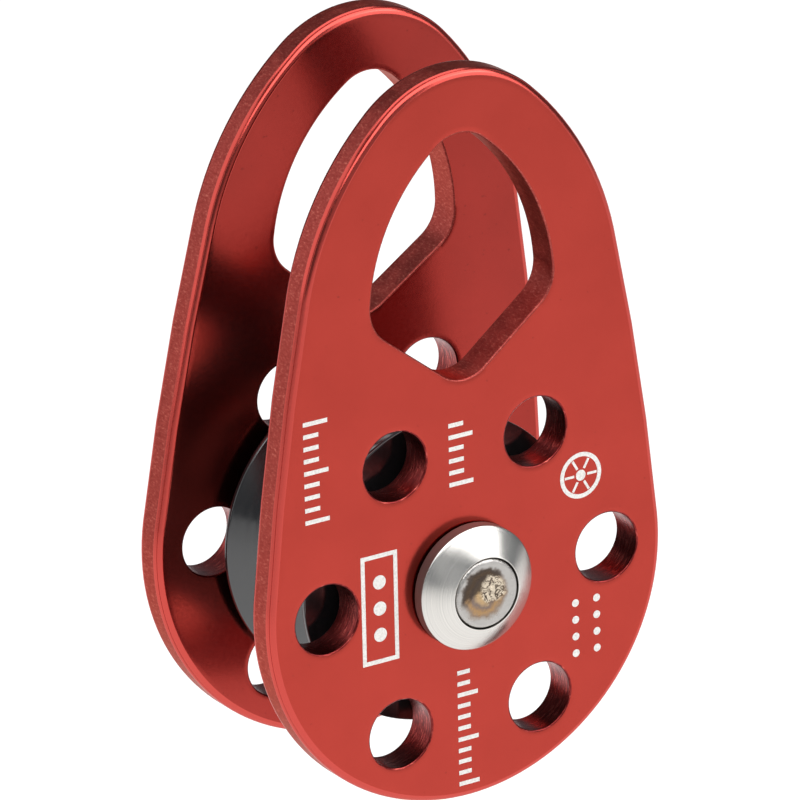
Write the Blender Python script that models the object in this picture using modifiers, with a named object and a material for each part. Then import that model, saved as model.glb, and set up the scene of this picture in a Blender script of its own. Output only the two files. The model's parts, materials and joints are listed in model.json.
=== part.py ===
"""Rope pulley with two swinging cheeks: the working model, in metres, +Z up.

The axle runs along Y, and the front cheek faces -Y. The origin is the crown of the front cheek's
karabiner eye, halfway between the cheeks, which is the point that the pulley hangs from.
"""

import math

import bmesh
import bpy
from mathutils import Vector

MM = 0.001

# Cheeks: two equal plates, each an egg shape about the axle with a karabiner eye above it.
CHEEK_THICKNESS = 4.5 * MM
CHEEK_GAP = 21.6 * MM  # between the cheeks' inner faces
CHEEK_EDGE = 1.0 * MM  # rounding of the outline's edges
FOOT_RADIUS = 28.05 * MM  # the outline below the axle, and the half width
FOOT_TURN = math.radians(95.3)
SIDE_RADIUS = 334.5 * MM  # the long, nearly straight sides
SIDE_TURN = math.radians(6.6)
SHOULDER_RADIUS = 38.6 * MM
SHOULDER_TURN = math.radians(35.3)
REAR_CHEEK_SWING = math.radians(4.1)  # the rear cheek stands this far out of line

# Karabiner eye: a rounded diamond whose upper half is drawn out.
EYE_FOOT_HEIGHT = 26.3 * MM  # its lowest point, above the axle
EYE_FOOT_RADIUS = 4.7 * MM
EYE_FOOT_TURN = math.radians(38.2)
EYE_FLANK = 10.2 * MM
EYE_CORNER_RADIUS = 5.15 * MM
EYE_CORNER_TURN = math.radians(55.9)
EYE_SIDE_RADIUS = 25.6 * MM
EYE_SIDE_TURN = math.radians(47.4)

# Lightening holes: a ring about the axle, with a pair above it left and right of the centre line.
HOLE_COUNT = 6
HOLE_CIRCLE_RADIUS = 20.0 * MM
HOLE_RADIUS = 4.4 * MM

# Axle: a riveted pin in a sleeve that carries the cheeks and the bearings, under two domed caps.
PIN_RADIUS = 4.4 * MM
SLEEVE_RADIUS = 6.0 * MM
CAP_RADIUS = 7.9 * MM
CAP_BEVEL = 0.4 * MM  # under the cap's rim
CAP_RIM_HEIGHT = 1.9 * MM  # all cap heights are above the cheek's outer face
CAP_TOP_HEIGHT = 4.2 * MM
PIN_END_HEIGHT = 4.25 * MM
CAP_CROWN = 0.25 * MM  # how far the cap's cone bulges
PIN_CHAMFER = 0.2 * MM

# Sheave: a grooved wheel with a ball bearing pressed in from each side.
SHEAVE_RADIUS = 19.5 * MM
SHEAVE_WIDTH = 18.4 * MM
SHEAVE_CHAMFER = 0.2 * MM
LIP_WIDTH = 0.6 * MM  # the flange's rim, from the side to the groove
GROOVE_RADIUS = 6.75 * MM  # the groove's foot, for 13 mm rope
GROOVE_FLARE = math.radians(35)  # from its wall to the sheave's side
GROOVE_FACETS = 8
SHOULDER_BORE_RADIUS = 9.2 * MM  # between the two bearing seats
BEARING_RECESS = 0.6 * MM  # from the sheave's side to the bearing

# Ball bearing, 12 x 21 x 5 mm, with a seal on each side.
BEARING_RADIUS = 10.5 * MM
BEARING_WIDTH = 5.0 * MM
RING_WALL = 1.5 * MM
BALL_RADIUS = 1.2 * MM
BALL_COUNT = 12
RACE_CLEARANCE = 0.1 * MM
CAGE_HALF_WALL = 0.5 * MM
CAGE_WIDTH = 3.2 * MM
SEAL_THICKNESS = 0.4 * MM
SEAL_INSET = 0.1 * MM
SEAL_CLEARANCE = 0.15 * MM
SPACER_RADIUS = 7.4 * MM

# Clearances, which also keep solids apart where the real ones touch.
FIXED_GAP = 0.1 * MM
RUNNING_GAP = 0.15 * MM
FACE_GAP = 0.3 * MM

# Facets round the axis of each turned piece.
SHEAVE_FACETS = 48
CAP_FACETS = 40
SLEEVE_FACETS = 40
BEARING_FACETS = 32
HOLE_FACETS = 24
CAGE_FACETS = 3 * BALL_COUNT
BALL_SEGMENTS = 8
BALL_RINGS = 6
ARC_STEP = math.radians(6)  # the turn of one facet on an outline
SHARP_ANGLE = math.radians(35)  # edges that bend more than this look sharp

INNER_FACE = CHEEK_GAP / 2
OUTER_FACE = INNER_FACE + CHEEK_THICKNESS
BEARING_MIDDLE = SHEAVE_WIDTH / 2 - BEARING_RECESS - BEARING_WIDTH / 2
PITCH_RADIUS = (SLEEVE_RADIUS + BEARING_RADIUS) / 2
SIDES = {"front": -1, "rear": 1}
COLOURS = {  # base colour, metallic, roughness
    "red_anodised": ((0.48, 0.045, 0.035), 1.0, 0.35),
    "black_anodised": ((0.02, 0.02, 0.022), 0.8, 0.35),
    "stainless": ((0.66, 0.64, 0.61), 1.0, 0.25),
    "bearing_steel": ((0.55, 0.55, 0.56), 1.0, 0.15),
    "cage_nylon": ((0.55, 0.50, 0.38), 0.0, 0.5),
    "seal_rubber": ((0.02, 0.02, 0.02), 0.0, 0.6),
}


def clear_scene():
    for obj in list(bpy.data.objects):
        bpy.data.objects.remove(obj)


def new_collection(name):
    collection = bpy.data.collections.new(name)
    bpy.context.scene.collection.children.link(collection)
    return collection


def make_materials():
    materials = {}
    for name, (colour, metallic, roughness) in COLOURS.items():
        material = bpy.data.materials.new(name)
        material.use_nodes = True
        shader = material.node_tree.nodes["Principled BSDF"]
        shader.inputs["Base Color"].default_value = (*colour, 1)
        shader.inputs["Metallic"].default_value = metallic
        shader.inputs["Roughness"].default_value = roughness
        materials[name] = material
    return materials


def add_object(name, data, parent=None, material=None, collection=None):
    obj = bpy.data.objects.new(name, data)
    (collection or PARTS).objects.link(obj)
    obj.parent = parent
    if material:
        obj.data.materials.clear()
        obj.data.materials.append(MATERIALS[material])
    return obj


def evaluated_mesh(obj):
    """The object's mesh with its modifiers applied, in the object's own frame."""
    bpy.context.view_layer.update()
    graph = bpy.context.evaluated_depsgraph_get()
    return bpy.data.meshes.new_from_object(obj.evaluated_get(graph))


def shade_round(mesh):
    mesh.shade_smooth()
    mesh.set_sharp_from_angle(angle=SHARP_ANGLE)
    return mesh


def make_cutter(obj):
    obj.hide_render = True
    obj.display_type = "WIRE"
    return obj


# Outlines, drawn in X and Z about the axle


def arc(point, heading, radius, turn):
    """Points of a left-turning arc after its start, and the heading at its end."""
    centre = point + radius * Vector((-math.sin(heading), math.cos(heading)))
    count = max(2, round(turn / ARC_STEP))
    steps = [heading - math.pi / 2 + turn * i / count for i in range(1, count + 1)]
    return [centre + radius * Vector((math.cos(a), math.sin(a))) for a in steps], heading + turn


def closing_radius(point, heading):
    """Radius of the last arc of a half outline, which ends level on the centre line."""
    return point.x / math.sin(heading)


def whole_outline(half):
    """The closed outline, from its right half that runs from bottom to top on the centre line."""
    return half + [Vector((-p.x, p.y)) for p in reversed(half[1:-1])]


def cheek_half_outline():
    points, heading = [Vector((0, -FOOT_RADIUS))], 0.0
    stretches = (
        (FOOT_RADIUS, FOOT_TURN),
        (SIDE_RADIUS, SIDE_TURN),
        (SHOULDER_RADIUS, SHOULDER_TURN),
    )
    for radius, turn in stretches:
        more, heading = arc(points[-1], heading, radius, turn)
        points += more
    crown, _ = arc(points[-1], heading, closing_radius(points[-1], heading), math.pi - heading)
    return points + crown


def eye_half_outline():
    points, heading = [Vector((0, EYE_FOOT_HEIGHT))], 0.0
    more, heading = arc(points[-1], heading, EYE_FOOT_RADIUS, EYE_FOOT_TURN)
    points += more
    points.append(points[-1] + EYE_FLANK * Vector((math.cos(heading), math.sin(heading))))
    for radius, turn in (
        (EYE_CORNER_RADIUS, EYE_CORNER_TURN),
        (EYE_SIDE_RADIUS, EYE_SIDE_TURN),
    ):
        more, heading = arc(points[-1], heading, radius, turn)
        points += more
    crown, _ = arc(points[-1], heading, closing_radius(points[-1], heading), math.pi - heading)
    return points + crown


def plate_mesh(name, outline, thickness):
    """A flat plate in X and Z, of this thickness in Y, as a filled and extruded 2D curve."""
    curve = bpy.data.curves.new(name, "CURVE")
    curve.dimensions = "2D"
    curve.fill_mode = "BOTH"
    curve.extrude = thickness / 2
    spline = curve.splines.new("POLY")
    spline.points.add(len(outline) - 1)
    for point, place in zip(spline.points, outline):
        point.co = (place.x, place.y, 0, 1)
    spline.use_cyclic_u = True
    flat = add_object(name + "_outline", curve)
    flat.rotation_euler.x = math.pi / 2
    mesh = evaluated_mesh(flat)
    mesh.transform(flat.matrix_world)
    bpy.data.objects.remove(flat)
    edit = bmesh.new()
    edit.from_mesh(mesh)
    bmesh.ops.remove_doubles(edit, verts=edit.verts, dist=0.001 * MM)
    bmesh.ops.dissolve_limit(edit, angle_limit=0.01, verts=edit.verts, edges=edit.edges)
    bmesh.ops.recalc_face_normals(edit, faces=edit.faces)
    edit.to_mesh(mesh)
    edit.free()
    return shade_round(mesh)


def cylinder_mesh(name, radius, depth, facets):
    """A cylinder along Y."""
    edit = bmesh.new()
    bmesh.ops.create_cone(
        edit, cap_ends=True, segments=facets, radius1=radius, radius2=radius, depth=depth
    )
    mesh = bpy.data.meshes.new(name)
    edit.to_mesh(mesh)
    edit.free()
    turn = Vector((0, 0, 1)).rotation_difference(Vector((0, 1, 0))).to_matrix().to_4x4()
    mesh.transform(turn)
    return shade_round(mesh)


def cut(obj, cutter):
    modifier = obj.modifiers.new("cut_" + cutter.name, "BOOLEAN")
    modifier.operation = "DIFFERENCE"
    modifier.object = cutter


def make_cheek(side, pivot):
    """A cheek about its pivot on the axle, with its eye, lightening holes and axle bore."""
    plate = plate_mesh(side + "_cheek", whole_outline(cheek_half_outline()), CHEEK_THICKNESS)
    cheek = add_object(side + "_cheek", plate, pivot, "red_anodised")
    middle = SIDES[side] * (INNER_FACE + CHEEK_THICKNESS / 2)
    cheek.location.y = middle
    rounding = cheek.modifiers.new("rounded_edges", "BEVEL")
    rounding.width = CHEEK_EDGE
    rounding.segments = 2
    rounding.limit_method = "ANGLE"
    rounding.angle_limit = math.radians(60)
    rounding.harden_normals = True
    through = 3 * CHEEK_THICKNESS
    bore_radius = SLEEVE_RADIUS + RUNNING_GAP
    cutters = [
        plate_mesh(side + "_eye_cutter", whole_outline(eye_half_outline()), through),
        cylinder_mesh(side + "_bore_cutter", bore_radius, through, SLEEVE_FACETS),
    ]
    for i in range(HOLE_COUNT):
        angle = 2 * math.pi * i / HOLE_COUNT
        hole = cylinder_mesh(f"{side}_hole_cutter_{i + 1}", HOLE_RADIUS, through, HOLE_FACETS)
        centre = HOLE_CIRCLE_RADIUS * Vector((math.cos(angle), 0, math.sin(angle)))
        for vertex in hole.vertices:
            vertex.co += centre
        cutters.append(hole)
    for mesh in cutters:
        cutter = make_cutter(add_object(mesh.name, mesh, pivot, collection=CUTTERS))
        cutter.location.y = middle
        cut(cheek, cutter)
    return cheek


# Turned pieces, drawn as a radius and a place along Y


def turned(name, profile, parent, material, facets):
    """A closed (radius, y) profile turned about the axle; its outer side runs from +Y to -Y."""
    section = bpy.data.meshes.new(name + "_section")
    ring = [(radius, 0, y) for radius, y in profile]
    section.from_pydata(ring, [(i, (i + 1) % len(ring)) for i in range(len(ring))], [])
    obj = add_object(name, section, parent)
    obj.rotation_euler.x = -math.pi / 2  # the profile's own Z becomes Y
    screw = obj.modifiers.new("turn", "SCREW")
    screw.axis = "Z"
    screw.angle = 2 * math.pi
    screw.steps = screw.render_steps = facets
    screw.use_merge_vertices = True
    screw.merge_threshold = 0.001 * MM
    mesh = shade_round(evaluated_mesh(obj))
    mesh.name = name
    mesh.materials.append(MATERIALS[material])
    obj.modifiers.clear()
    obj.data = mesh
    bpy.data.meshes.remove(section)
    return obj


def tube(name, inner, outer, low, high, parent, material, facets):
    """A plain ring between two radii and two places along Y."""
    profile = [(inner, high), (outer, high), (outer, low), (inner, low)]
    return turned(name, profile, parent, material, facets)


def arc_profile(centre_radius, centre_y, radius, start, end, count):
    """(radius, y) points on an arc; angle 0 points away from the axle, and 90 degrees to +Y."""
    angles = [start + (end - start) * i / count for i in range(count + 1)]
    return [(centre_radius + radius * math.cos(a), centre_y + radius * math.sin(a)) for a in angles]


def facing(profile, side):
    """A profile drawn for the rear side, or its mirror image for the front one."""
    if side == "rear":
        return profile
    return [(radius, -y) for radius, y in reversed(profile)]


def groove_profile():
    """The rope groove: a round foot, and walls that touch it and flare out to the flanges' rims."""
    mouth = SHEAVE_WIDTH / 2 - LIP_WIDTH
    touch = GROOVE_RADIUS * math.cos(GROOVE_FLARE)
    wall_depth = (mouth - touch) / math.tan(GROOVE_FLARE)
    centre = SHEAVE_RADIUS - wall_depth + GROOVE_RADIUS * math.sin(GROOVE_FLARE)
    reach = math.pi / 2 - GROOVE_FLARE
    foot = arc_profile(centre, 0, GROOVE_RADIUS, math.pi - reach, math.pi + reach, GROOVE_FACETS)
    return [(SHEAVE_RADIUS, mouth), *foot, (SHEAVE_RADIUS, -mouth)]


def make_sheave(parent):
    half, chamfer = SHEAVE_WIDTH / 2, SHEAVE_CHAMFER
    seat = half - BEARING_RECESS - BEARING_WIDTH - FIXED_GAP
    profile = [
        (SHOULDER_BORE_RADIUS, seat),
        (BEARING_RADIUS, seat),
        (BEARING_RADIUS, half - chamfer),
        (BEARING_RADIUS + chamfer, half),
        (SHEAVE_RADIUS - chamfer, half),
        (SHEAVE_RADIUS, half - chamfer),
        *groove_profile(),
        (SHEAVE_RADIUS, chamfer - half),
        (SHEAVE_RADIUS - chamfer, -half),
        (BEARING_RADIUS + chamfer, -half),
        (BEARING_RADIUS, chamfer - half),
        (BEARING_RADIUS, -seat),
        (SHOULDER_BORE_RADIUS, -seat),
    ]
    turned("sheave", profile, parent, "black_anodised", SHEAVE_FACETS)


def make_axle(parent):
    end = OUTER_FACE + PIN_END_HEIGHT
    pin = [
        (0, end),
        (PIN_RADIUS - PIN_CHAMFER, end),
        (PIN_RADIUS, end - PIN_CHAMFER),
        (PIN_RADIUS, PIN_CHAMFER - end),
        (PIN_RADIUS - PIN_CHAMFER, -end),
        (0, -end),
    ]
    turned("axle_pin", pin, parent, "stainless", CAP_FACETS)
    sleeve_end = OUTER_FACE + FACE_GAP - FIXED_GAP
    bore = PIN_RADIUS + RUNNING_GAP
    span = (-sleeve_end, sleeve_end)
    tube("axle_sleeve", bore, SLEEVE_RADIUS, *span, parent, "stainless", SLEEVE_FACETS)
    for side in SIDES:
        make_cap(side, parent)


def make_cap(side, parent):
    """A domed cap: a short rim, then a slightly bulging cone that rises to the pin."""
    bore = PIN_RADIUS + RUNNING_GAP
    base, rim = OUTER_FACE + FACE_GAP, OUTER_FACE + CAP_RIM_HEIGHT
    top = OUTER_FACE + CAP_TOP_HEIGHT
    cone = []
    for share in (0.75, 0.5, 0.25):
        bulge = CAP_CROWN * 4 * share * (1 - share)
        cone.append((bore + (CAP_RADIUS - bore) * share, top + (rim - top) * share + bulge))
    profile = [
        (bore, top),
        *reversed(cone),
        (CAP_RADIUS, rim),
        (CAP_RADIUS, base + CAP_BEVEL),
        (CAP_RADIUS - CAP_BEVEL, base),
        (bore, base),
    ]
    turned(side + "_axle_cap", facing(profile, side), parent, "stainless", CAP_FACETS)


def make_spacers(parent):
    """Washers that centre the sheave between the cheeks, and the tube between the inner rings."""
    bore = SLEEVE_RADIUS + FIXED_GAP
    ring_face = BEARING_MIDDLE + BEARING_WIDTH / 2
    for side, sign in SIDES.items():
        low, high = sorted((sign * (ring_face + FIXED_GAP), sign * (INNER_FACE - RUNNING_GAP)))
        tube(side + "_spacer", bore, SPACER_RADIUS, low, high, parent, "stainless", BEARING_FACETS)
    reach = BEARING_MIDDLE - BEARING_WIDTH / 2 - FIXED_GAP
    tube("bearing_spacer", bore, SPACER_RADIUS, -reach, reach, parent, "stainless", BEARING_FACETS)


def make_bearing(side, axle, sheave, balls):
    """One sealed ball bearing: its rings, seals, cage and balls."""
    middle = SIDES[side] * BEARING_MIDDLE
    high, low = middle + BEARING_WIDTH / 2, middle - BEARING_WIDTH / 2
    race = BALL_RADIUS + RACE_CLEARANCE
    inner_land = SLEEVE_RADIUS + RING_WALL
    outer_land = BEARING_RADIUS - RING_WALL
    reach = math.acos((PITCH_RADIUS - inner_land) / race)
    inner_race = arc_profile(PITCH_RADIUS, middle, race, math.pi - reach, math.pi + reach, 4)
    outer_race = arc_profile(PITCH_RADIUS, middle, race, -reach, reach, 4)
    bore, outside = SLEEVE_RADIUS + FIXED_GAP, BEARING_RADIUS - FIXED_GAP
    inner = [(bore, high), (inner_land, high), *inner_race, (inner_land, low), (bore, low)]
    outer = [(outer_land, high), (outside, high), (outside, low), (outer_land, low), *outer_race]
    name = side + "_bearing_"
    turned(name + "inner_ring", inner, axle, "bearing_steel", BEARING_FACETS)
    turned(name + "outer_ring", outer, sheave, "bearing_steel", BEARING_FACETS)
    seal_middle = BEARING_WIDTH / 2 - SEAL_INSET - SEAL_THICKNESS / 2
    for place, y in (("outer", SIDES[side] * seal_middle), ("inner", -SIDES[side] * seal_middle)):
        tube(
            f"{side}_bearing_{place}_seal",
            inner_land + SEAL_CLEARANCE,
            outer_land - FIXED_GAP,
            middle + y - SEAL_THICKNESS / 2,
            middle + y + SEAL_THICKNESS / 2,
            sheave,
            "seal_rubber",
            BEARING_FACETS,
        )
    cage = tube(
        name + "cage",
        PITCH_RADIUS - CAGE_HALF_WALL,
        PITCH_RADIUS + CAGE_HALF_WALL,
        middle - CAGE_WIDTH / 2,
        middle + CAGE_WIDTH / 2,
        balls,
        "cage_nylon",
        CAGE_FACETS,
    )
    add_balls(side, middle, cage, balls)


def add_balls(side, middle, cage, parent):
    """Balls round the cage, which has a round pocket for each."""
    shapes = {}
    for name, radius in (("ball", BALL_RADIUS), ("pocket", BALL_RADIUS + RACE_CLEARANCE)):
        edit = bmesh.new()
        bmesh.ops.create_uvsphere(
            edit, u_segments=BALL_SEGMENTS, v_segments=BALL_RINGS, radius=radius
        )
        shapes[name] = bpy.data.meshes.new(f"{side}_{name}")
        edit.to_mesh(shapes[name])
        edit.free()
        shapes[name].shade_smooth()
    shapes["ball"].materials.append(MATERIALS["bearing_steel"])
    for i in range(BALL_COUNT):
        angle = 2 * math.pi * (i + 0.5) / BALL_COUNT
        place = Vector((PITCH_RADIUS * math.cos(angle), middle, PITCH_RADIUS * math.sin(angle)))
        ball = add_object(f"{side}_ball_{i + 1:02d}", shapes["ball"], parent)
        ball.location = place
        pocket = make_cutter(
            add_object(f"{side}_pocket_{i + 1:02d}", shapes["pocket"], parent, collection=CUTTERS)
        )
        pocket.location = place
        cut(cage, pocket)


def main():
    eye_crown = eye_half_outline()[-1].y
    pivots = {}
    for name in ("front_cheek", "rear_cheek", "axle", "sheave", "front_balls", "rear_balls"):
        pivots[name] = add_object(name + "_pivot", None)
        pivots[name].location.z = -eye_crown
    pivots["rear_cheek"].rotation_euler.y = REAR_CHEEK_SWING
    for side in SIDES:
        make_cheek(side, pivots[side + "_cheek"])
        make_bearing(side, pivots["axle"], pivots["sheave"], pivots[side + "_balls"])
    make_sheave(pivots["sheave"])
    make_axle(pivots["axle"])
    make_spacers(pivots["axle"])


clear_scene()
PARTS = new_collection("rope_pulley")
CUTTERS = new_collection("cutters")
MATERIALS = make_materials()
main()
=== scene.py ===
"""The looks of the rope pulley: fine meshes, procedural materials, studio light and camera.

Everything is in metres, in the CAD's frame: +Z up, the axle along Y, the front cheek facing -Y,
and the origin at the crown of the front cheek's karabiner eye.
"""

import json
import math

import bmesh
import bpy
from mathutils import Matrix, Vector, noise


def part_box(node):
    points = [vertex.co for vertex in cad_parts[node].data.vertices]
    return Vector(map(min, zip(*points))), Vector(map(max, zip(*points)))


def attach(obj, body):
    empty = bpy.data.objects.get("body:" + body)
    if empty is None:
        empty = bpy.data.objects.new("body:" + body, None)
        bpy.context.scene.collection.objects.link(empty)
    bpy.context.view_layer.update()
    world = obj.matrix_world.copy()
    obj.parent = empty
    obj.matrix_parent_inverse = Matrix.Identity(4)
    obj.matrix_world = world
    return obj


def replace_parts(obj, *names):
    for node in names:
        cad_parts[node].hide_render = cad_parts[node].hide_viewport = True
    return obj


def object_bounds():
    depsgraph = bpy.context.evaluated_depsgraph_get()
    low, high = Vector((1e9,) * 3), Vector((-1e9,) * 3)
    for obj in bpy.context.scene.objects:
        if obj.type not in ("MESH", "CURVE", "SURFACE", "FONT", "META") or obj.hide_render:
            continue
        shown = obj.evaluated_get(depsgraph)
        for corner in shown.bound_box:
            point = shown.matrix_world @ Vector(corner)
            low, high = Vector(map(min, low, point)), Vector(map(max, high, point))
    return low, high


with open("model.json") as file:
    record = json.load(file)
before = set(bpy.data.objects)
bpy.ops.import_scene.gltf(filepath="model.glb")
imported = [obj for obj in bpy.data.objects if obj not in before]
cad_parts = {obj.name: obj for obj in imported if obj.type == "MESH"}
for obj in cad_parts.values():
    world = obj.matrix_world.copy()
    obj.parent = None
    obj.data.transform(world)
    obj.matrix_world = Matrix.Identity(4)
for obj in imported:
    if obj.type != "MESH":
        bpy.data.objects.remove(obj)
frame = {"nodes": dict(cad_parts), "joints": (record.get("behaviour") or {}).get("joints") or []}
CAD_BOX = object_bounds()

MM = 0.001
TURN = 2 * math.pi
AXLE = Vector(frame["joints"][0]["pos_m"])  # every joint turns about the axle

# Places along the axle, from the CAD
INNER_FACE = -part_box("front_cheek")[1].y  # from the middle to a cheek's inner face
OUTER_FACE = -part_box("front_cheek")[0].y
CAP_BASE = -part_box("front_axle_cap")[1].y
PIN_END = -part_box("axle_pin")[0].y
SHEAVE_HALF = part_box("sheave")[1].y

# Cheek outline, as in the CAD
FOOT_RADIUS = 28.05 * MM
FOOT_TURN = math.radians(95.3)
SIDE_RADIUS = 334.5 * MM
SIDE_TURN = math.radians(6.6)
SHOULDER_RADIUS = 38.6 * MM
SHOULDER_TURN = math.radians(35.3)
REAR_CHEEK_SWING = math.radians(4.1)

# Karabiner eye, as in the CAD
EYE_FOOT_HEIGHT = 26.3 * MM
EYE_FOOT_RADIUS = 4.7 * MM
EYE_FOOT_TURN = math.radians(38.2)
EYE_FLANK = 10.2 * MM
EYE_CORNER_RADIUS = 5.15 * MM
EYE_CORNER_TURN = math.radians(55.9)
EYE_SIDE_RADIUS = 25.6 * MM
EYE_SIDE_TURN = math.radians(47.4)

# Holes, as in the CAD
HOLE_COUNT = 6
HOLE_CIRCLE_RADIUS = 20.0 * MM
HOLE_RADIUS = 4.4 * MM
BORE_RADIUS = 6.15 * MM

# The machined corner round a cheek's rim, which two tool passes leave with a fine line along it
CORNER_RADIUS = 1.0 * MM
CORNER_LINE_DEPTH = 0.03 * MM
CORNER_LINE_ANGLE = 55  # degrees down the corner, from the face
CORNER_ANGLES = (7, 15, 24, 33, 42, 50, 53, 55, 57, 63, 72, 81, 90)  # closest at the line
BROKEN_EDGE = 0.22 * MM  # round the eye and the holes
FACE_MARGIN = 0.6 * MM

CURVE_STEP = math.radians(2.5)  # the turn of one facet on an outline
FACETS = 128  # round a turned piece


def add_object(name, data):
    item = bpy.data.objects.new(name, data)
    bpy.context.scene.collection.objects.link(item)
    return item


def finished_mesh(edit, name):
    """The mesh of what was edited, with its faces turned outward."""
    bmesh.ops.recalc_face_normals(edit, faces=edit.faces)
    mesh = bpy.data.meshes.new(name)
    edit.to_mesh(mesh)
    edit.free()
    return mesh


# Cheeks


class Outline:
    """A half outline that turns left from the centre line's foot: points in X and Z, and headings."""

    def __init__(self, foot):
        self.points = [Vector((0, foot))]
        self.headings = [0.0]

    def arc(self, radius, turn):
        start, heading = self.points[-1], self.headings[-1]
        centre = start + radius * Vector((-math.sin(heading), math.cos(heading)))
        count = max(3, round(turn / CURVE_STEP))
        for i in range(1, count + 1):
            now = heading + turn * i / count
            self.points.append(centre + radius * Vector((math.sin(now), -math.cos(now))))
            self.headings.append(now)
        return self

    def straight(self, length):
        heading = self.headings[-1]
        ahead = Vector((math.cos(heading), math.sin(heading)))
        self.points.append(self.points[-1] + length * ahead)
        self.headings.append(heading)
        return self

    def crown(self):
        heading = self.headings[-1]
        return self.arc(self.points[-1].x / math.sin(heading), math.pi - heading)

    def closed(self):
        """(point, outward normal) all the way round."""
        right = list(zip(self.points, self.headings))
        left = [(Vector((-p.x, p.y)), TURN - h) for p, h in reversed(right[1:-1])]
        return [(p, Vector((math.sin(h), -math.cos(h)))) for p, h in right + left]


def rim_outline():
    half = Outline(-FOOT_RADIUS).arc(FOOT_RADIUS, FOOT_TURN).arc(SIDE_RADIUS, SIDE_TURN)
    return half.arc(SHOULDER_RADIUS, SHOULDER_TURN).crown().closed()


def eye_outline():
    half = Outline(EYE_FOOT_HEIGHT).arc(EYE_FOOT_RADIUS, EYE_FOOT_TURN).straight(EYE_FLANK)
    half.arc(EYE_CORNER_RADIUS, EYE_CORNER_TURN).arc(EYE_SIDE_RADIUS, EYE_SIDE_TURN)
    return half.crown().closed()


def circle_outline(centre, radius, count=72):
    angles = [TURN * i / count for i in range(count)]
    normals = [Vector((math.cos(a), math.sin(a))) for a in angles]
    return [(centre + radius * n, n) for n in normals]


def corner_section():
    """(inset, depth) down the rim's corner, from the face to the wall."""
    section = []
    for degrees in CORNER_ANGLES:
        angle = math.radians(degrees)
        sunk = CORNER_LINE_DEPTH if degrees == CORNER_LINE_ANGLE else 0
        inset = CORNER_RADIUS * (1 - math.sin(angle)) + sunk
        depth = CORNER_RADIUS * (1 - math.cos(angle)) + sunk
        section.append((inset, depth))
    section[0] = (section[0][0], 0)
    return section


def broken_section():
    """(inset, depth) down the small rounding of an eye's or a hole's edge."""
    angles = [math.radians(a) for a in (0, 30, 60, 90)]
    return [(BROKEN_EDGE * (1 - math.sin(a)), BROKEN_EDGE * (1 - math.cos(a))) for a in angles]


# The inner faces' material is a darker copy of the face's red: painted shade between the cheeks.
CHEEK_MATERIALS = ("cheek_face", "cheek_corner", "cheek_cut", "cheek_inner_painted_shade", "cheek_bore")
FACE, CORNER, CUT, INNER, BORE = range(len(CHEEK_MATERIALS))
CHEEK_SHARP_ANGLE = math.radians(50)  # edges that bend more than this look sharp


def hole_outlines():
    """The eye, the axle's bore and the ring of lightening holes."""
    holes = [eye_outline(), circle_outline(Vector((0, 0)), BORE_RADIUS)]
    for i in range(HOLE_COUNT):
        angle = TURN * i / HOLE_COUNT
        centre = HOLE_CIRCLE_RADIUS * Vector((math.cos(angle), math.sin(angle)))
        holes.append(circle_outline(centre, HOLE_RADIUS))
    return holes


def wall_rings(edit, outline, section, sign, middle, half, place):
    """Vertex rings from the front face down the wall to the back face.

    They start and end on the flat faces, a margin away from the edge, so that the faces stay
    evenly shaded up to it.
    """
    section = [(section[0][0] + FACE_MARGIN, 0), *section]
    front = [(inset, -half + depth) for inset, depth in section]
    back = [(inset, half - depth) for inset, depth in reversed(section)]
    rings = []
    for inset, y in front + back:
        ring = [edit.verts.new(place(p - sign * inset * n, middle + y)) for p, n in outline]
        rings.append(ring)
    return rings


def skin_wall(edit, rings, edge_slot, wall_slot, face_slots):
    """Faces between the rings: a strip of each flat face, the two edges and the wall between."""
    rows = [edge_slot] * (len(rings) - 1)
    rows[len(rings) // 2 - 1] = wall_slot
    rows[0], rows[-1] = face_slots
    for slot, one, two in zip(rows, rings, rings[1:]):
        for i in range(len(one)):
            j = (i + 1) % len(one)
            face = edit.faces.new((one[i], one[j], two[j], two[i]))
            face.smooth = True
            face.material_index = slot


def fill_flat(edit, rings, slot):
    """A flat face between the rim's ring and the holes' rings."""
    edges = []
    for ring in rings:
        edges += [edit.edges.get((ring[i - 1], ring[i])) for i in range(len(ring))]
    filled = bmesh.ops.triangle_fill(edit, edges=edges, use_beauty=True)
    for face in filled["geom"]:
        if isinstance(face, bmesh.types.BMFace):
            face.smooth = True
            face.material_index = slot


def make_cheek(side):
    """A cheek plate: its faces, its machined corners and its cut walls each have a material."""
    direction = -1 if side == "front" else 1
    swing = 0 if side == "front" else REAR_CHEEK_SWING
    half = (OUTER_FACE - INNER_FACE) / 2
    middle = direction * (INNER_FACE + half)
    cosine, sine = math.cos(swing), math.sin(swing)

    def place(p, y):
        return AXLE + Vector((p.x * cosine + p.y * sine, y, p.y * cosine - p.x * sine))

    # Both inner faces take the darker copy of the red, painted shade between the cheeks.
    face_slots = (FACE, INNER) if side == "front" else (INNER, FACE)
    edit = bmesh.new()
    rim = wall_rings(edit, rim_outline(), corner_section(), 1, middle, half, place)
    holes = []
    for outline in hole_outlines():
        holes.append(wall_rings(edit, outline, broken_section(), -1, middle, half, place))
    eye, *drilled = holes
    skin_wall(edit, rim, CORNER, CUT, face_slots)
    skin_wall(edit, eye, CUT, CUT, face_slots)
    for rings in drilled:
        skin_wall(edit, rings, BORE, BORE, face_slots)
    for end in (0, -1):
        fill_flat(edit, [rings[end] for rings in (rim, *holes)], face_slots[end])
    mesh = finished_mesh(edit, side + "_cheek_plate")
    mesh.set_sharp_from_angle(angle=CHEEK_SHARP_ANGLE)
    piece = add_piece(mesh.name, mesh, side + "_cheek")
    for material in CHEEK_MATERIALS:
        piece.data.materials.append(MATERIALS[material])
    even_normals(piece)
    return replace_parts(piece, side + "_cheek")


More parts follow.
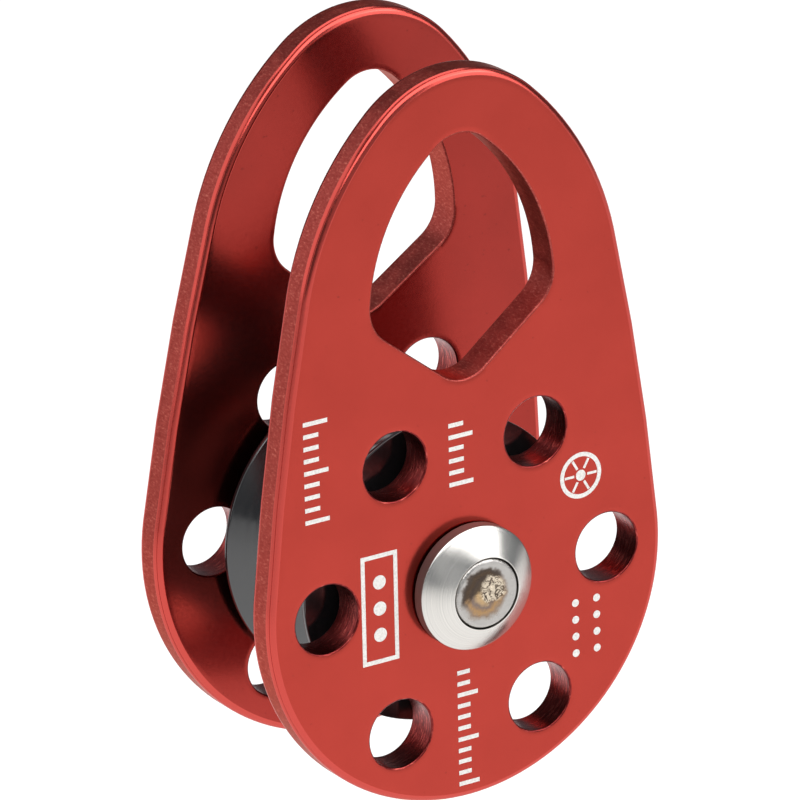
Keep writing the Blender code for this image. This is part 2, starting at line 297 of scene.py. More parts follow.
def even_normals(piece):
    """Keeps flat faces evenly lit right up to their rounded edges."""
    modifier = piece.modifiers.new("even_normals", "WEIGHTED_NORMAL")
    modifier.weight = 90
    modifier.keep_sharp = True


def add_piece(name, mesh, body):
    piece = add_object(name, mesh)
    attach(piece, body)
    return piece


# Marks on the front cheek: plain tick scales, dots and a wheel sign in pale etching, no lettering

STROKE = 0.55 * MM
MARK_HEIGHT = 0.02 * MM  # above and below the cheek's face
SHORT_TICK = 0.62  # of a long one
TICK_SCALES = (  # place across, lowest and highest tick, length of a long tick, count
    (-21 * MM, 13 * MM, 25.5 * MM, 3.4 * MM, 9),
    (-0.7 * MM, 13.2 * MM, 20.8 * MM, 3.4 * MM, 6),
    (-0.4 * MM, -26 * MM, -11.4 * MM, 2.9 * MM, 11),
)


def bar(centre, length, width, angle=0.0):
    """A rectangle's corners, its length at this angle from +X."""
    along = Vector((math.cos(angle), math.sin(angle))) * length / 2
    across = Vector((-math.sin(angle), math.cos(angle))) * width / 2
    near, far = Vector(centre) - along, Vector(centre) + along
    return [near - across, far - across, far + across, near + across]


def band(centre, radius, start, end, count=40):
    """A stroke along an arc, as quadrilaterals."""
    middle = Vector(centre)
    rays = []
    for i in range(count + 1):
        angle = start + (end - start) * i / count
        ray = Vector((math.cos(angle), math.sin(angle)))
        rays.append((middle + (radius - STROKE / 2) * ray, middle + (radius + STROKE / 2) * ray))
    return [[one[0], one[1], two[1], two[0]] for one, two in zip(rays, rays[1:])]


def dot(centre, radius, count=24):
    angles = [TURN * i / count for i in range(count)]
    return [Vector(centre) + radius * Vector((math.cos(a), math.sin(a))) for a in angles]


def tick_scale(x, low, high, length, count):
    """Evenly spaced ticks up a line, every fourth one full length and the others shorter."""
    shapes = []
    for i in range(count):
        reach = length if i % 4 == 0 else SHORT_TICK * length
        z = low + (high - low) * i / (count - 1)
        shapes.append(bar((x - (length - reach) / 2, z), reach, STROKE))
    return shapes


def wheel_sign(x, z):
    """A wheel: a ring, six spokes and a hub."""
    rim = 2.7 * MM
    spokes = []
    for i in range(6):
        angle = TURN * i / 6
        reach = 0.6 * rim * Vector((math.cos(angle), math.sin(angle)))
        spokes.append(bar(Vector((x, z)) + reach, 0.5 * rim, 0.6 * STROKE, angle))
    return band((x, z), rim, 0, TURN) + spokes + [dot((x, z), 0.7 * MM)]


def plate_sign(x, z, width, height):
    """A blank frame round a row of dots."""
    sides = [bar((x + side * width / 2, z), STROKE, height + STROKE) for side in (-1, 1)]
    ends = [bar((x, z + end * height / 2), width - STROKE, STROKE) for end in (-1, 1)]
    dots = [dot((x, z + i * height / 4), 0.9 * MM) for i in (-1, 0, 1)]
    return sides + ends + dots


def dot_rows(x, z, pitch):
    """Two rows of four dots."""
    dots = []
    for i in (-0.7, 0.7):
        for j in (-1.5, -0.5, 0.5, 1.5):
            dots.append(dot((x + i * pitch, z + j * pitch), 0.5 * MM))
    return dots


def mark_shapes():
    """Every mark's outline, in X and Z from the axle."""
    shapes = []
    for scale in TICK_SCALES:
        shapes += tick_scale(*scale)
    shapes += plate_sign(-12.6 * MM, -0.3 * MM, 4.6 * MM, 13.6 * MM)
    shapes += wheel_sign(16.4 * MM, 10.2 * MM)
    shapes += dot_rows(16.9 * MM, -9.6 * MM, 2.2 * MM)
    return shapes


def make_marks():
    """All the marks in one thin piece, half sunk in the front cheek's face."""
    edit = bmesh.new()
    levels = (-OUTER_FACE + MARK_HEIGHT, -OUTER_FACE - MARK_HEIGHT)
    for shape in mark_shapes():
        rings = [[edit.verts.new(AXLE + Vector((p.x, y, p.y))) for p in shape] for y in levels]
        edit.faces.new(rings[0])
        edit.faces.new(rings[1])
        for i in range(len(shape)):
            edit.faces.new((rings[0][i - 1], rings[0][i], rings[1][i], rings[1][i - 1]))
    mesh = finished_mesh(edit, "front_marks")
    mesh.materials.append(MATERIALS["etching"])
    marks = add_object("front_marks", mesh)
    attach(marks, "front_cheek")


# Turned pieces


TURNED_SHARP_ANGLE = math.radians(40)


def rounded(profile, sizes, steps=4):
    """A closed (radius, y) profile with each corner rounded by its size; one of 0 stays as it is."""
    points = [Vector(p) for p in profile]
    result = []
    for i, (corner, size) in enumerate(zip(points, sizes)):
        before = (points[i - 1] - corner).normalized()
        after = (points[(i + 1) % len(points)] - corner).normalized()
        if not size or before.dot(after) < -0.999:
            result.append(corner)
            continue
        start, end = corner + size * before, corner + size * after
        for k in range(steps + 1):
            t = k / steps
            result.append((1 - t) ** 2 * start + 2 * t * (1 - t) * corner + t * t * end)
    return result


def turned_mesh(name, profile, facets=FACETS):
    """A closed (radius, y) profile turned about the axle."""
    edit = bmesh.new()
    columns = []
    for k in range(facets):
        angle = TURN * k / facets
        around = Vector((math.cos(angle), 0, math.sin(angle)))
        column = []
        for radius, y in profile:
            if radius < 1e-9 and columns:
                column.append(columns[0][len(column)])
            else:
                column.append(edit.verts.new(AXLE + radius * around + Vector((0, y, 0))))
        columns.append(column)
    count = len(profile)
    for k in range(facets):
        one, two = columns[k], columns[(k + 1) % facets]
        for i in range(count):
            j = (i + 1) % count
            corners = []
            for vertex in (one[i], one[j], two[j], two[i]):
                if vertex not in corners:
                    corners.append(vertex)
            if len(corners) > 2:
                edit.faces.new(corners).smooth = True
    mesh = finished_mesh(edit, name)
    mesh.set_sharp_from_angle(angle=TURNED_SHARP_ANGLE)
    return mesh


def facing(profile, side):
    """A profile drawn for the rear side, or its mirror image for the front one."""
    return [(r, y if side == "rear" else -y) for r, y in profile]


def add_turned(name, profile, node, body, material, facets=FACETS):
    piece = add_piece(name, turned_mesh(name, profile, facets), body)
    piece.data.materials.append(MATERIALS[material])
    even_normals(piece)
    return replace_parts(piece, node)


SHEAVE_RADIUS = 19.5 * MM
LIP_WIDTH = 0.6 * MM
GROOVE_RADIUS = 6.75 * MM
GROOVE_FLARE = math.radians(35)
BEARING_RADIUS = 10.5 * MM
BEARING_WIDTH = 5.0 * MM
BEARING_RECESS = 0.6 * MM
BEARING_GAP = 0.1 * MM  # between a bearing and its seat's end
SHOULDER_BORE_RADIUS = 9.2 * MM  # between the two bearing seats
SEAT_EDGE = 0.1 * MM
LIP_EDGE = 0.18 * MM
SHEAVE_FACETS = 192


def groove_profile(facets=28):
    mouth = SHEAVE_HALF - LIP_WIDTH
    touch = GROOVE_RADIUS * math.cos(GROOVE_FLARE)
    wall_depth = (mouth - touch) / math.tan(GROOVE_FLARE)
    centre = SHEAVE_RADIUS - wall_depth + GROOVE_RADIUS * math.sin(GROOVE_FLARE)
    reach = math.pi / 2 - GROOVE_FLARE
    foot = []
    for i in range(facets + 1):
        angle = math.pi - reach + 2 * reach * i / facets
        foot.append((centre + GROOVE_RADIUS * math.cos(angle), GROOVE_RADIUS * math.sin(angle)))
    return foot, mouth


def make_sheave():
    foot, mouth = groove_profile()
    seat = SHEAVE_HALF - BEARING_RECESS - BEARING_WIDTH - BEARING_GAP
    corners = [
        (SHOULDER_BORE_RADIUS, seat),
        (BEARING_RADIUS, seat),
        (BEARING_RADIUS, SHEAVE_HALF),
        (SHEAVE_RADIUS, SHEAVE_HALF),
        (SHEAVE_RADIUS, mouth),
        *foot,
        (SHEAVE_RADIUS, -mouth),
        (SHEAVE_RADIUS, -SHEAVE_HALF),
        (BEARING_RADIUS, -SHEAVE_HALF),
        (BEARING_RADIUS, -seat),
        (SHOULDER_BORE_RADIUS, -seat),
    ]
    side = [SEAT_EDGE, 0, SEAT_EDGE, LIP_EDGE, LIP_EDGE]
    profile = rounded(corners, [*side, *[0] * len(foot), *reversed(side)])
    black = "black_anodised"
    add_turned("sheave_wheel", profile, "sheave", "sheave", black, SHEAVE_FACETS)


PIN_RADIUS = 4.4 * MM
CAP_RADIUS = 7.9 * MM
CAP_RIM_HEIGHT = 1.9 * MM
CAP_TOP_HEIGHT = 4.2 * MM
CAP_CROWN = 0.06 * MM  # how far the cap's cone bulges
CAP_BORE_GAP = 0.15 * MM
CAP_CONE_STEPS = 12
CAP_TOP_EDGE = 0.12 * MM
CAP_FOOT_EDGE = 0.15 * MM
CAP_BORE_EDGE = 0.1 * MM
CAP_RIM_BAND = 0.03 * MM  # what lies this close to the cap's full radius takes the rim's darker steel, painted shade on the cap's side


def make_caps():
    """The domed caps: a short rim, then a nearly straight cone that rises to the pin."""
    bore = PIN_RADIUS + CAP_BORE_GAP
    rim, top = OUTER_FACE + CAP_RIM_HEIGHT, OUTER_FACE + CAP_TOP_HEIGHT
    cone = []
    for i in range(1, CAP_CONE_STEPS):
        share = i / CAP_CONE_STEPS
        bulge = CAP_CROWN * 4 * share * (1 - share)
        cone.append((bore + (CAP_RADIUS - bore) * share, top + (rim - top) * share + bulge))
    corners = [(bore, top), *cone, (CAP_RADIUS, rim), (CAP_RADIUS, CAP_BASE), (bore, CAP_BASE)]
    sizes = [CAP_TOP_EDGE, *[0] * len(cone), CAP_TOP_EDGE, CAP_FOOT_EDGE, CAP_BORE_EDGE]
    for side in ("front", "rear"):
        profile = rounded(facing(corners, side), sizes)
        name = side + "_axle_cap"
        cap = add_turned(name + "_dome", profile, name, "axle", "cap_steel")
        # The rim takes a darker copy of the cap's steel: painted shade on the cap's side.
        cap.data.materials.append(MATERIALS["cap_rim_painted_shade"])
        for face in cap.data.polygons:
            away = face.center - AXLE
            if math.hypot(away.x, away.z) > CAP_RADIUS - CAP_RIM_BAND:
                face.material_index = 1


WELD_CENTRE = Vector((0.8 * MM, 0.4 * MM))  # from the axle, in X and Z
WELD_RADIUS = 1.9 * MM
WELD_RAGGEDNESS = 0.7 * MM
PIN_FLAT_MARGIN = 0.45 * MM  # from the end's flat to the pin's side
PIN_EDGE = ((0.2 * MM, 0.06 * MM), (0, 0.3 * MM))  # in from the side, down from the end
PIN_END_RINGS = 56
PIN_FACETS = 160


def weld_share(spot):
    """How far a spot on the pin's end lies inside the ragged patch, from 0 to 1."""
    ragged = WELD_RAGGEDNESS * noise.noise(Vector((spot.x, 0, spot.y)) / MM * 0.9)
    share = 1.8 * (1 - ((spot - WELD_CENTRE).length + ragged) / WELD_RADIUS)
    return min(1, max(0, share))


def dent_depth(away, share):
    """How deep the rough patch is dented at a place given from the axle."""
    spot = Vector((away.x, away.y, away.z)) / MM
    folds = abs(noise.noise(spot * 1.5)) + 0.5 * abs(noise.noise(spot * 3.1))
    smooth = share * share * (3 - 2 * share)
    return MM * smooth * (0.03 + 0.22 * max(0, 0.45 - folds))


def make_pin():
    """The axle's pin. Its ends are rough near the middle, where they were closed."""
    end = PIN_END
    flat = PIN_RADIUS - PIN_FLAT_MARGIN
    face = [(i / PIN_END_RINGS * flat, end) for i in range(PIN_END_RINGS + 1)]
    edge = [(PIN_RADIUS - inset, end - drop) for inset, drop in PIN_EDGE]
    half = face + edge
    profile = half + [(r, -y) for r, y in reversed(half)]
    mesh = turned_mesh("axle_pin_rod", profile, PIN_FACETS)
    for vertex in mesh.vertices:
        away = vertex.co - AXLE
        share = weld_share(Vector((away.x, away.z)))
        if share == 0 or abs(away.y) < end - 0.01 * MM:
            continue
        vertex.co.y -= math.copysign(dent_depth(away, share), away.y)
    piece = add_piece("axle_pin_rod", mesh, "axle")
    piece.data.materials.append(MATERIALS["pin_steel"])
    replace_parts(piece, "axle_pin")


# Materials


def new_material(name, colour, metallic, roughness, **sockets):
    material = bpy.data.materials.new(name)
    material.use_nodes = True
    tree = material.node_tree
    shader = tree.nodes["Principled BSDF"]
    shader.inputs["Base Color"].default_value = (*colour, 1)
    shader.inputs["Metallic"].default_value = metallic
    shader.inputs["Roughness"].default_value = roughness
    for socket, value in sockets.items():
        shader.inputs[socket.replace("_", " ")].default_value = value
    return material, tree, shader


def add_node(tree, kind, inputs=(), **settings):
    """A node with its settings, and its inputs by name or number: a socket to link, or a value."""
    node = tree.nodes.new(kind)
    for name, value in settings.items():
        setattr(node, name, value)
    for name, value in dict(inputs).items():
        if isinstance(value, bpy.types.NodeSocket):
            tree.links.new(value, node.inputs[name])
        else:
            node.inputs[name].default_value = value
    return node


def millimetres(tree):
    """The place on the piece, in millimetres."""
    place = add_node(tree, "ShaderNodeTexCoord").outputs["Object"]
    scaled = add_node(tree, "ShaderNodeVectorMath", {0: place}, operation="SCALE")
    scaled.inputs["Scale"].default_value = 1 / MM
    return scaled.outputs[0]


def from_axle(tree):
    """(distance from the axle, distance plus place along it), in millimetres."""
    place = millimetres(tree)
    moved = add_node(tree, "ShaderNodeVectorMath", {0: place, 1: AXLE / MM}, operation="SUBTRACT")
    parts = add_node(tree, "ShaderNodeSeparateXYZ", {0: moved.outputs[0]})
    across = {0: moved.outputs[0], 1: (1, 0, 1)}
    flat = add_node(tree, "ShaderNodeVectorMath", across, operation="MULTIPLY")
    radius = add_node(tree, "ShaderNodeVectorMath", {0: flat.outputs[0]}, operation="LENGTH")
    total = {0: radius.outputs["Value"], 1: parts.outputs["Y"]}
    both = add_node(tree, "ShaderNodeMath", total, operation="ADD")
    return radius.outputs["Value"], both.outputs[0]


def noise_of(tree, vector, scale, detail=2.0, roughness=0.5, **settings):
    inputs = {"Scale": scale, "Detail": detail, "Roughness": roughness}
    inputs["W" if settings.get("noise_dimensions") == "1D" else "Vector"] = vector
    return add_node(tree, "ShaderNodeTexNoise", inputs, **settings).outputs["Fac"]


def spread(tree, value, low, high, start=0.3, end=0.7):
    """A value's range from start to end, made to run from low to high."""
    inputs = {"Value": value, "From Min": start, "From Max": end, "To Min": low, "To Max": high}
    return add_node(tree, "ShaderNodeMapRange", inputs).outputs["Result"]


def colours(tree, value, *stops):
    """A colour ramp of (position, colour) stops."""
    node = add_node(tree, "ShaderNodeValToRGB", {"Fac": value})
    elements = node.color_ramp.elements
    while len(elements) < len(stops):
        elements.new(0.5)
    for element, (position, colour) in zip(elements, stops):
        element.position = position
        element.color = (*colour, 1)
    return node.outputs["Color"]


def mixed(tree, factor, one, two, blend="MIX"):
    node = add_node(tree, "ShaderNodeMix", data_type="RGBA", blend_type=blend)
    for socket, value in ((0, factor), (6, one), (7, two)):
        if isinstance(value, bpy.types.NodeSocket):
            tree.links.new(value, node.inputs[socket])
        else:
            node.inputs[socket].default_value = value if socket == 0 else (*value, 1)
    return node.outputs[2]


def bumped(tree, shader, height, strength, distance, under=None):
    inputs = {"Height": height, "Strength": strength, "Distance": distance}
    if under is not None:
        inputs["Normal"] = under
    normal = add_node(tree, "ShaderNodeBump", inputs).outputs["Normal"]
    tree.links.new(normal, shader.inputs["Normal"])
    return normal


def cheek_face(name, low, high):
    """Satin red anodised plate: a fine even grain, faint clouds and a few specks."""
    material, tree, shader = new_material(
        name, low, 1.0, 0.3, Coat_Weight=0.25, Coat_Roughness=0.3, Coat_IOR=1.5
    )
    place = millimetres(tree)
    grain = noise_of(tree, place, 3, 3, 0.6)
    clouds = noise_of(tree, place, 0.12, 3, 0.5)
    specks = noise_of(tree, place, 1.7, 1, 0.5)
    base = colours(tree, clouds, (0.3, low), (0.7, high))
    dark = colours(tree, specks, (0.22, (0.75, 0.7, 0.7)), (0.27, (1, 1, 1)))
    tree.links.new(mixed(tree, 1.0, base, dark, "MULTIPLY"), shader.inputs["Base Color"])
    tree.links.new(spread(tree, grain, 0.16, 0.22), shader.inputs["Roughness"])
    bumped(tree, shader, grain, 0.2, 0.02 * MM)
    return material


def cheek_corner():
    """The machined corner of a cheek: smoother than its face."""
    material, tree, shader = new_material(
        "cheek_corner", (0.5, 0.045, 0.032), 1.0, 0.2, Coat_Weight=0.6, Coat_Roughness=0.2
    )
    shader.inputs["Specular Tint"].default_value = (0.75, 0.35, 0.3, 1)
    wear = noise_of(tree, millimetres(tree), 1.2, 4, 0.6)
    tree.links.new(spread(tree, wear, 0.16, 0.24), shader.inputs["Roughness"])
    bumped(tree, shader, wear, 0.1, 0.03 * MM)
    return material


def cheek_cut():
    """The cut edges: the same anodising over a coarse surface, with chatter across the thickness."""
    material, tree, shader = new_material(
        "cheek_cut", (0.4, 0.05, 0.04), 1.0, 0.5, Coat_Weight=0.05, Coat_Roughness=0.4, Coat_IOR=1.5
    )
    shader.inputs["Specular Tint"].default_value = (0.8, 0.52, 0.47, 1)
    place = millimetres(tree)
    across = add_node(tree, "ShaderNodeVectorMath", {0: place, 1: (1, 0.4, 1)}, operation="MULTIPLY")
    grit = noise_of(tree, across.outputs[0], 4.2, 6, 0.7)
    patches = noise_of(tree, place, 0.35, 3, 0.6)
    base = colours(
        tree,
        grit,
        (0.34, (0.27, 0.037, 0.031)),
        (0.55, (0.38, 0.064, 0.053)),
        (0.70, (0.62, 0.180, 0.135)),
    )
    tint = colours(tree, patches, (0.3, (0.85, 0.85, 0.87)), (0.7, (1, 1, 1)))
    tree.links.new(mixed(tree, 1.0, base, tint, "MULTIPLY"), shader.inputs["Base Color"])
    tree.links.new(spread(tree, patches, 0.3, 0.42), shader.inputs["Roughness"])
    bumped(tree, shader, grit, 0.45, 0.07 * MM)
    return material


def cheek_bore():
    """The drilled holes' walls: tool rings and bright specks over a dark base, whose darkness is painted
    shade inside the holes.
    """
    material, tree, shader = new_material(
        "cheek_bore", (0.2, 0.02, 0.02), 1.0, 0.3, Coat_Weight=0.1, Coat_Roughness=0.3
    )
    place = millimetres(tree)
    along = add_node(tree, "ShaderNodeVectorMath", {0: place, 1: (0.5, 2.5, 0.5)}, operation="MULTIPLY")
    rings = noise_of(tree, along.outputs[0], 1.6, 4, 0.7)
    base = colours(
        tree,
        rings,
        (0.40, (0.13, 0.012, 0.012)),
        (0.55, (0.26, 0.028, 0.026)),
        (0.68, (0.55, 0.100, 0.080)),
    )
    tree.links.new(base, shader.inputs["Base Color"])
    tree.links.new(spread(tree, rings, 0.36, 0.22), shader.inputs["Roughness"])
    bumped(tree, shader, rings, 0.6, 0.06 * MM)
    return material


def etching():
    """Laser marking: pale, matt and faintly uneven."""
    material, tree, shader = new_material("etching", (0.8, 0.78, 0.75), 0.0, 0.7)
    grit = noise_of(tree, millimetres(tree), 4, 3, 0.6)
    shade = colours(tree, grit, (0.3, (0.56, 0.53, 0.50)), (0.6, (0.72, 0.70, 0.67)))
    tree.links.new(shade, shader.inputs["Base Color"])
    bumped(tree, shader, grit, 0.3, 0.02 * MM)
    return material


def black_anodised():
    """Turned and hard anodised black: glossy, with fine rings."""
    material, tree, shader = new_material("black_anodised", (0.012, 0.012, 0.013), 0.0, 0.14, IOR=1.8)
    _, along = from_axle(tree)
    fine = noise_of(tree, along, 9, 3, 0.6, noise_dimensions="1D")
    wide = noise_of(tree, along, 1.1, 2, 0.5, noise_dimensions="1D")
    dust = noise_of(tree, millimetres(tree), 3, 3, 0.6)
    tree.links.new(spread(tree, wide, 0.1, 0.17), shader.inputs["Roughness"])
    shade = colours(tree, dust, (0.35, (0.009, 0.009, 0.010)), (0.7, (0.018, 0.017, 0.018)))
    tree.links.new(shade, shader.inputs["Base Color"])
    bumped(tree, shader, fine, 0.2, 0.015 * MM)
    return material


def turned_steel(name, colour, roughness, ring_strength, metallic=1.0):
    """Stainless steel off the lathe: fine rings that stretch its highlights."""
    material, tree, shader = new_material(name, colour, metallic, roughness, Anisotropic=0.9)
    _, along = from_axle(tree)
    fine = noise_of(tree, along, 4.5, 3, 0.6, noise_dimensions="1D")
    smudges = noise_of(tree, millimetres(tree), 0.4, 2, 0.5)
    low, high = [tuple(c * k for c in colour) for k in (0.9, 1.06)]
    tree.links.new(colours(tree, fine, (0.3, low), (0.7, high)), shader.inputs["Base Color"])
    tree.links.new(spread(tree, smudges, roughness * 0.9, roughness * 1.1), shader.inputs["Roughness"])
    bumped(tree, shader, fine, ring_strength, 0.015 * MM)
    tangent = add_node(tree, "ShaderNodeTangent", direction_type="RADIAL", axis="Y")
    tree.links.new(tangent.outputs[0], shader.inputs["Tangent"])
    return material


def heat_tint(tree, radius):
    """Straw, brown and grey rings, from a radius in millimetres."""
    return colours(
        tree,
        spread(tree, radius, 0, 1, 0.8, 5.3),
        (0.0, (0.42, 0.30, 0.17)),
        (0.25, (0.47, 0.32, 0.17)),
        (0.42, (0.20, 0.15, 0.13)),
        (0.55, (0.38, 0.23, 0.11)),
        (0.66, (0.27, 0.20, 0.15)),
        (0.80, (0.43, 0.41, 0.39)),
    )


def burnt_share(tree, spot, warp, radius):
    """How burnt a spot is: most on one side, and only inside the tinted rings."""
    lean = add_node(tree, "ShaderNodeVectorMath", {0: spot, 1: (-0.45, 0, 0.9)}, operation="DOT_PRODUCT")
    edge = {0: warp, 1: 2.6, 2: lean.outputs["Value"]}
    leaning = add_node(tree, "ShaderNodeMath", edge, operation="MULTIPLY_ADD").outputs[0]
    both = {0: spread(tree, leaning, 0, 0.9, 1.7, 2.5), 1: spread(tree, radius, 1, 0, 4.0, 4.5)}
    return add_node(tree, "ShaderNodeMath", both, operation="MULTIPLY").outputs[0]


def weld_folds(tree, place):
    """Lines that wander over the ragged patch: 0 on a line, and more away from it."""
    squiggles = {"Vector": place, "Scale": 1.15, "Detail": 3.0, "Distortion": 1.0}
    folds = add_node(tree, "ShaderNodeTexNoise", squiggles).outputs["Fac"]
    folds = add_node(tree, "ShaderNodeMath", {0: folds, 1: 0.5}, operation="SUBTRACT").outputs[0]
    return add_node(tree, "ShaderNodeMath", {0: folds}, operation="ABSOLUTE").outputs[0]


def pin_steel():
    """The pin's steel. Heat has left its ends straw and brown, with a ragged patch."""
    material, tree, shader = new_material("pin_steel", (0.60, 0.57, 0.53), 1.0, 0.3)
    place = millimetres(tree)
    moved = add_node(tree, "ShaderNodeVectorMath", {0: place, 1: AXLE / MM}, operation="SUBTRACT")
    flat = {0: moved.outputs[0], 1: (1, 0, 1)}
    spot = add_node(tree, "ShaderNodeVectorMath", flat, operation="MULTIPLY").outputs[0]
    warp = noise_of(tree, place, 0.7, 4, 0.6)
    radius = distance(tree, spot, (-0.4, 0, 0.1), warp, 1.8)
    burnt = burnt_share(tree, spot, warp, radius)
    tint = mixed(tree, burnt, heat_tint(tree, radius), (0.050, 0.037, 0.030))
    weld = spread(tree, distance(tree, spot, (0.8, 0, 0.4), warp, 1.6), 1, 0, 2.2, 2.7)
    folds = weld_folds(tree, place)
    bright = colours(
        tree, folds, (0.0, (0.03, 0.025, 0.02)), (0.02, (0.16, 0.12, 0.09)), (0.06, (0.62, 0.53, 0.41))
    )
    tree.links.new(mixed(tree, weld, tint, bright), shader.inputs["Base Color"])
    tree.links.new(spread(tree, warp, 0.24, 0.36), shader.inputs["Roughness"])
    bumped(tree, shader, folds, 0.4, 0.3 * MM)
    return material


def distance(tree, spot, centre, warp, amount):
    """Distance from a centre, in millimetres, made uneven by a noise."""
    gap = add_node(tree, "ShaderNodeVectorMath", {0: spot, 1: centre}, operation="DISTANCE")
    ragged = {0: warp, 1: amount, 2: gap.outputs["Value"]}
    return add_node(tree, "ShaderNodeMath", ragged, operation="MULTIPLY_ADD").outputs[0]


def floor_paper():
    """Plain white paper that glows a little, so it stays pale in every view."""
    material, tree, shader = new_material(
        "floor_paper", (0.4, 0.4, 0.4), 0.0, 0.8, Emission_Color=(1, 1, 1, 1), Emission_Strength=0.8
    )
    fibres = noise_of(tree, millimetres(tree), 0.6, 4, 0.6)
    shade = colours(tree, fibres, (0.3, (0.39, 0.39, 0.39)), (0.7, (0.4, 0.4, 0.4)))
    tree.links.new(shade, shader.inputs["Base Color"])
    return material


def bearing_steel():
    """Ground and polished bearing steel, with faint clouds and hairlines."""
    material, tree, shader = new_material("bearing_steel", (0.62, 0.62, 0.63), 1.0, 0.12)
    place = millimetres(tree)
    hairs = noise_of(tree, place, 7, 4, 0.7)
    clouds = noise_of(tree, place, 0.5, 3, 0.5)
    shade = colours(tree, clouds, (0.3, (0.57, 0.57, 0.59)), (0.7, (0.66, 0.66, 0.66)))
    tree.links.new(shade, shader.inputs["Base Color"])
    tree.links.new(spread(tree, hairs, 0.08, 0.2), shader.inputs["Roughness"])
    bumped(tree, shader, hairs, 0.08, 0.01 * MM)
    return material


def cage_nylon():
    """Moulded nylon, warm white and slightly translucent."""
    material, tree, shader = new_material(
        "cage_nylon", (0.70, 0.64, 0.50), 0.0, 0.45, Subsurface_Weight=0.1, Subsurface_Scale=MM
    )
    grain = noise_of(tree, millimetres(tree), 2.5, 4, 0.6)
    shade = colours(tree, grain, (0.3, (0.64, 0.57, 0.43)), (0.7, (0.73, 0.67, 0.54)))
    tree.links.new(shade, shader.inputs["Base Color"])
    tree.links.new(spread(tree, grain, 0.38, 0.52), shader.inputs["Roughness"])
    bumped(tree, shader, grain, 0.2, 0.03 * MM)
    return material


def seal_rubber():
    """Nitrile rubber: nearly black and dull, with fine moulding rings and dust."""
    material, tree, shader = new_material("seal_rubber", (0.02, 0.02, 0.02), 0.0, 0.6, IOR=1.52)
    _, along = from_axle(tree)
    rings = noise_of(tree, along, 3, 2, 0.5, noise_dimensions="1D")
    dust = noise_of(tree, millimetres(tree), 1.5, 5, 0.7)
    shade = colours(tree, dust, (0.4, (0.014, 0.014, 0.015)), (0.75, (0.045, 0.042, 0.040)))
    tree.links.new(shade, shader.inputs["Base Color"])
    tree.links.new(spread(tree, dust, 0.5, 0.72), shader.inputs["Roughness"])
    bumped(tree, shader, rings, 0.3, 0.03 * MM)
    return material


def make_materials():
    return {
        "cheek_face": cheek_face("cheek_face", (0.375, 0.033, 0.0215), (0.405, 0.037, 0.0245)),
        # A darker copy of the face's red for the inner faces: painted shade between the cheeks.
        "cheek_inner_painted_shade": cheek_face("cheek_inner_painted_shade", (0.29, 0.0245, 0.0175), (0.32, 0.027, 0.0195)),
        "cheek_corner": cheek_corner(),
        "cheek_cut": cheek_cut(),
        # Darker than the cut edges: painted shade inside the holes, over real tool rings.
        "cheek_bore": cheek_bore(),
        "etching": etching(),
        "black_anodised": black_anodised(),
        "cap_steel": turned_steel("cap_steel", (0.63, 0.605, 0.57), 0.2, 0.3),
        # A darker copy of the cap's steel for its rim: painted shade.
        "cap_rim_painted_shade": turned_steel("cap_rim_painted_shade", (0.24, 0.215, 0.20), 0.4, 0.5, 0.7),
        "lathe_steel": turned_steel("lathe_steel", (0.60, 0.59, 0.57), 0.3, 0.3),
        "bearing_steel": bearing_steel(),
        "cage_nylon": cage_nylon(),
        "seal_rubber": seal_rubber(),
        "pin_steel": pin_steel(),
        "floor_paper": floor_paper(),
    }


# The CAD pieces that keep their own shape, by a word in their names
INNER_PARTS = {
    "sleeve": "lathe_steel",
    "spacer": "lathe_steel",
    "ring": "bearing_steel",
    "ball": "bearing_steel",
    "cage": "cage_nylon",
    "seal": "seal_rubber",
}


def finish_inner_parts():
    for name, node in frame["nodes"].items():
        if node.hide_render:
            continue
        word = next(part for part in name.split("_") if part in INNER_PARTS)
        node.data.materials.clear()
        node.data.materials.append(MATERIALS[INNER_PARTS[word]])


# Studio


CAMERA_AZIMUTH = math.radians(-31.9)
CAMERA_ELEVATION = math.radians(21.1)
CAMERA_ROLL = math.radians(-1.32)
CAMERA_DISTANCE = 1.00743
CAMERA_LENS = 376.3
SUBJECT_RIGHT = 8.23 * MM  # where the axle's front end lies from the middle of the view
SUBJECT_UP = -22.05 * MM


def make_camera():
    back = Vector(
        (
            math.sin(CAMERA_AZIMUTH) * math.cos(CAMERA_ELEVATION),
            -math.cos(CAMERA_AZIMUTH) * math.cos(CAMERA_ELEVATION),
            math.sin(CAMERA_ELEVATION),
        )
    )
    level = Vector((0, 0, 1)).cross(back).normalized()
    upright = back.cross(level)
    right = level * math.cos(CAMERA_ROLL) + upright * math.sin(CAMERA_ROLL)
    up = upright * math.cos(CAMERA_ROLL) - level * math.sin(CAMERA_ROLL)
    subject = AXLE + Vector((0, -OUTER_FACE, 0))
    place = subject - SUBJECT_RIGHT * right - SUBJECT_UP * up + CAMERA_DISTANCE * back
    lens = bpy.data.cameras.new("camera")
    lens.lens = CAMERA_LENS
    lens.sensor_width = 36
    lens.clip_start = 0.01
    camera = add_object("camera", lens)
    camera.matrix_world = Matrix.Translation(place) @ Matrix((right, up, back)).transposed().to_4x4()
    bpy.context.scene.camera = camera


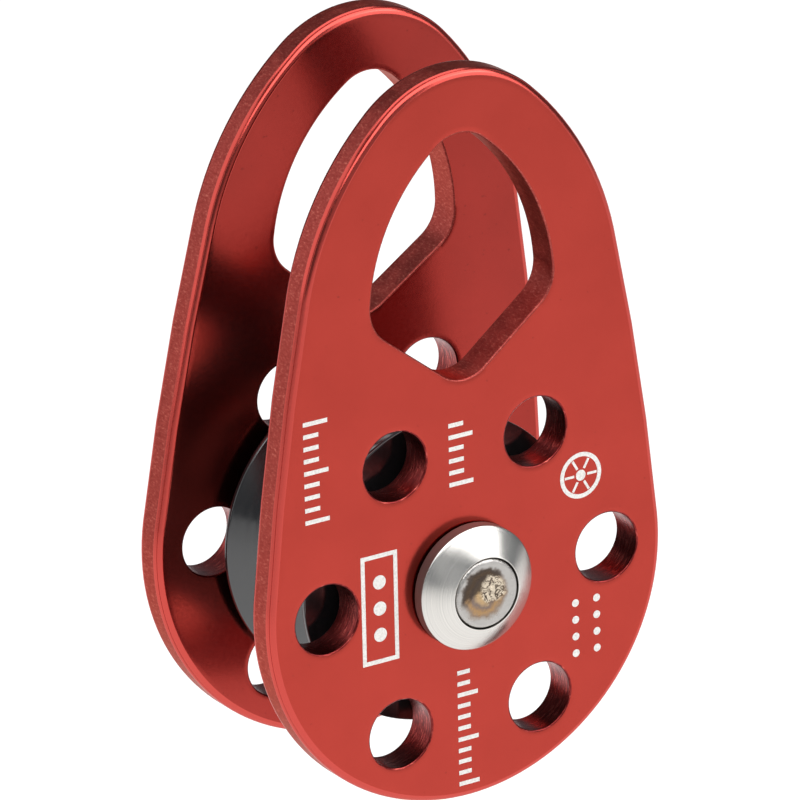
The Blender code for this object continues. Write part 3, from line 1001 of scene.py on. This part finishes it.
FLOOR_DROP = 250 * MM  # from the pulley's foot down to the floor
FLOOR_SCALE = 6  # of a floor 1 m across


def make_floor():
    edit = bmesh.new()
    bmesh.ops.create_grid(edit, x_segments=8, y_segments=8, size=0.5)
    mesh = bpy.data.meshes.new("floor")
    edit.to_mesh(mesh)
    edit.free()
    mesh.materials.append(MATERIALS["floor_paper"])
    floor = add_object("floor", mesh)
    floor.scale = (FLOOR_SCALE, FLOOR_SCALE, 1)
    floor.location = (0, 0, CAD_BOX[0][2] - FLOOR_DROP)


def add_light(name, direction, distance, width, height, radiance):
    """A soft box in this direction from the pulley's middle, facing it."""
    lamp = bpy.data.lights.new(name, "AREA")
    lamp.shape = "RECTANGLE"
    lamp.size = width
    lamp.size_y = height
    lamp.energy = radiance * math.pi * width * height
    light = add_object(name, lamp)
    middle = (Vector(CAD_BOX[0]) + Vector(CAD_BOX[1])) / 2
    away = Vector(direction).normalized()
    light.location = middle + distance * away
    light.rotation_euler = away.to_track_quat("Z", "Y").to_euler()


# Soft boxes: direction from the pulley's middle, distance, width and height in metres, radiance
LIGHTS = {
    "overhead_box": ((0.06, -0.56, 0.83), 0.9, 2.0, 0.60, 3.0),
    "right_box": ((0.604, -0.72, 0.342), 0.9, 0.62, 0.66, 2.2),
    "front_fill": ((-0.1, -1.0, 0.12), 0.9, 0.9, 0.6, 0.3),
    "left_box": ((-0.85, 0.45, 0.38), 0.9, 1.1, 0.8, 1.2),
    "rear_box": ((0.0, 0.35, 1.0), 1.8, 2.6, 1.0, 2.0),
}


def make_lights():
    world = bpy.data.worlds.new("studio")
    world.use_nodes = True
    background = world.node_tree.nodes["Background"]
    background.inputs["Color"].default_value = (0.85, 0.93, 1.0, 1)
    background.inputs["Strength"].default_value = 0.2
    bpy.context.scene.world = world
    for name, settings in LIGHTS.items():
        add_light(name, *settings)


MATERIALS = make_materials()
make_camera()
make_floor()
make_lights()
bpy.context.scene.view_settings.view_transform = "Standard"
for side in ("front", "rear"):
    make_cheek(side)
make_sheave()
make_caps()
make_pin()
make_marks()
finish_inner_parts()
